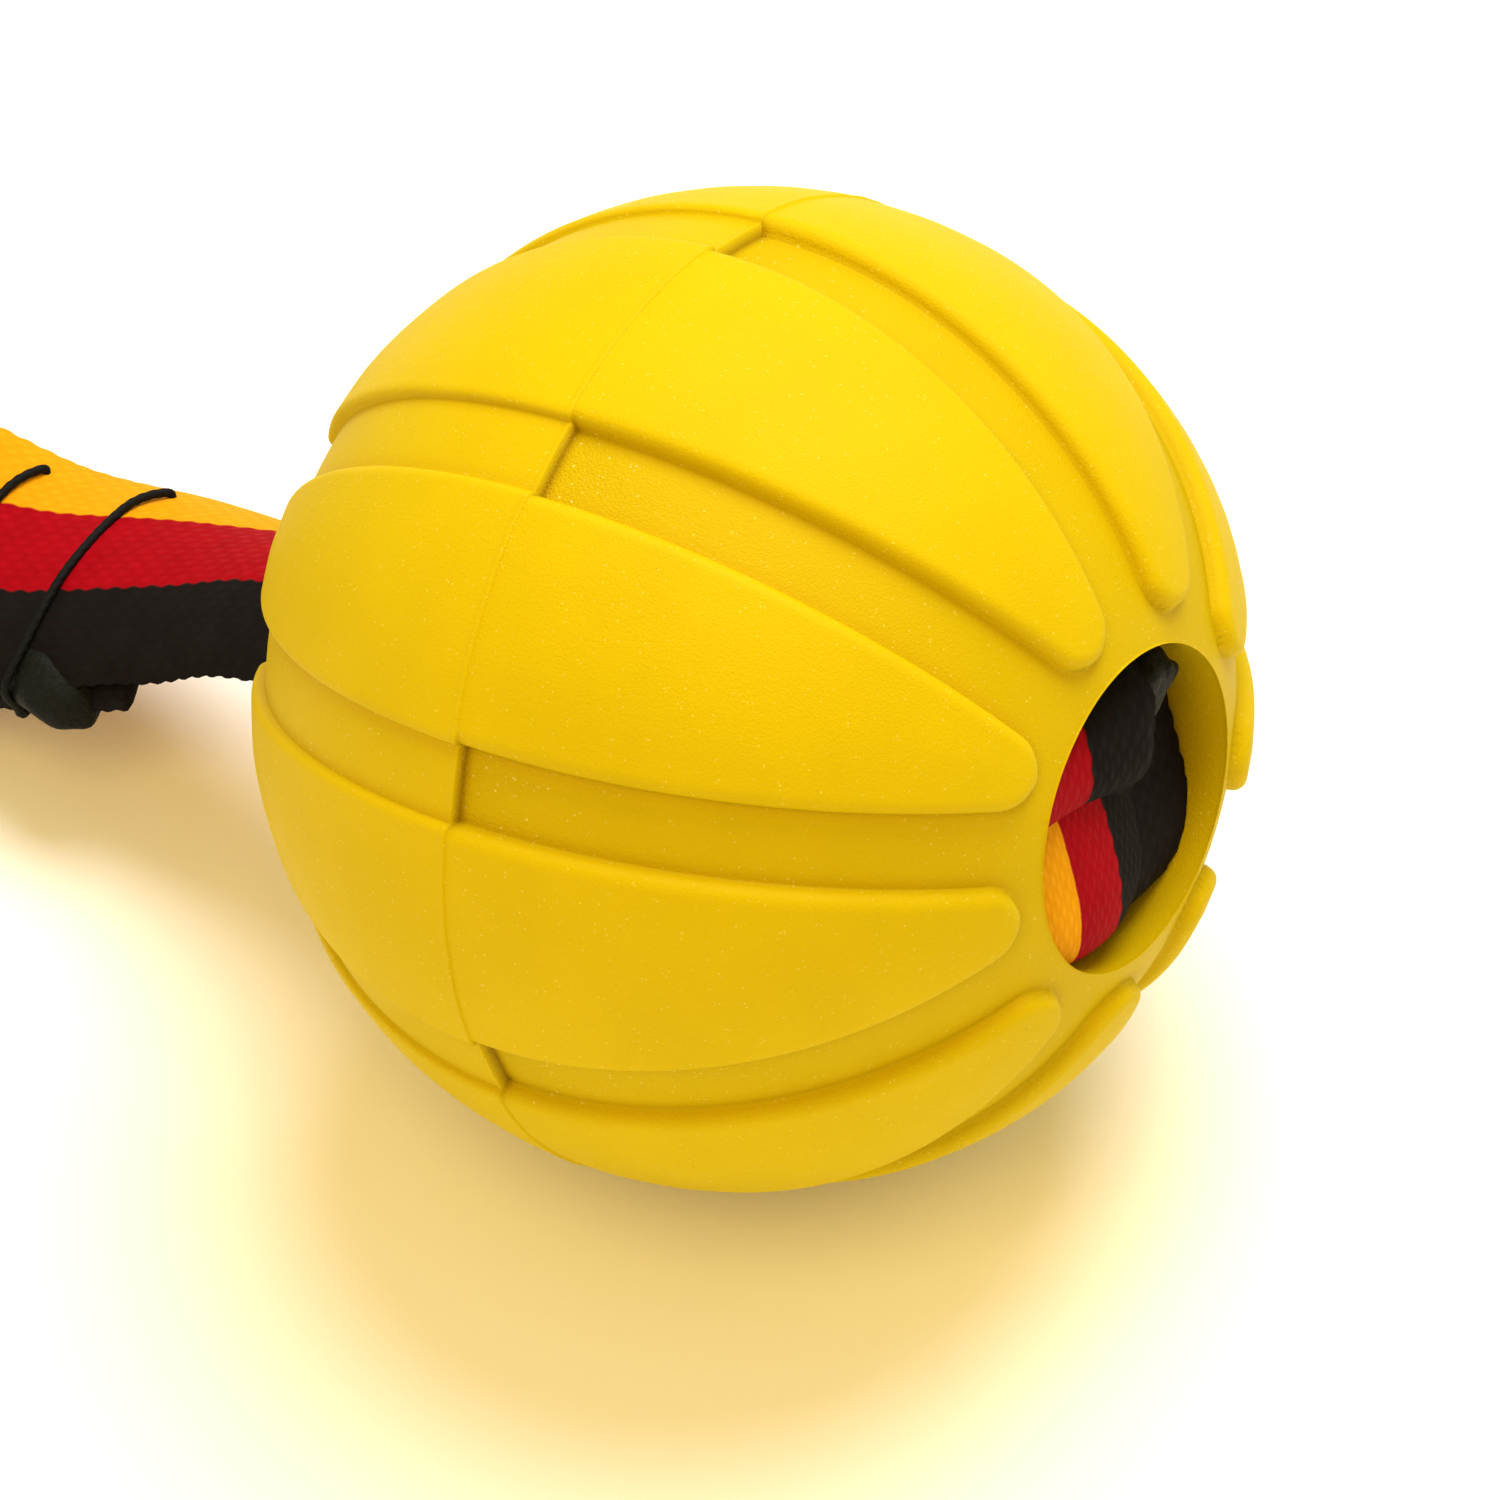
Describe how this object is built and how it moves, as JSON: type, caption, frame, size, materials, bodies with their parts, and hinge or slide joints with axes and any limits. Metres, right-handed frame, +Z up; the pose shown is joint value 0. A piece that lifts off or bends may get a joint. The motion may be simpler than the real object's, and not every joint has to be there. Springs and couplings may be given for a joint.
{
  "type": "ball on a strap",
  "caption": "Ribbed soft rubber ball with a through bore, on a tricolour webbing strap that is knotted in the front mouth, sewn behind the ball and looped for the hand.",
  "frame": {"origin": "the point on the ground below the centre of the ball, where the ball rests", "axes": "+X the way the front mouth with the knot faces; the bore is tipped 11.7 degrees up from it; the strap leaves towards -X; +Z up"},
  "size_m": [0.2373, 0.065, 0.0651],
  "materials": {
    "ball_rubber": "yellow moulded rubber, satin, with a fine pebbled skin",
    "webbing": "woven webbing in three bands: black, red and gold",
    "melted_webbing": "webbing fibres melted into a black, lumpy, half-glossy rim",
    "thread": "thick black sewing thread"
  },
  "bodies": {
    "strap": {"strap_knot": "webbing", "strap_tail_end": "melted_webbing", "strap_neck": "webbing", "strap_top_layer": "webbing", "hand_loop": "webbing", "strap_bottom_layer": "webbing", "sealed_end": "melted_webbing", "stitch_1": "thread", "stitch_2": "thread", "stitch_3": "thread", "stitch_4": "thread", "stitch_5": "thread"},
    "ball": {"ball_body": "ball_rubber"}
  },
  "joints": [
    {"name": "ball_swivel", "type": "hinge", "parent": "strap", "child": "ball", "pos_m": [0, 0, 0.0325], "axis": [0.9792, 0, 0.2028], "continuous": true}
  ]
}
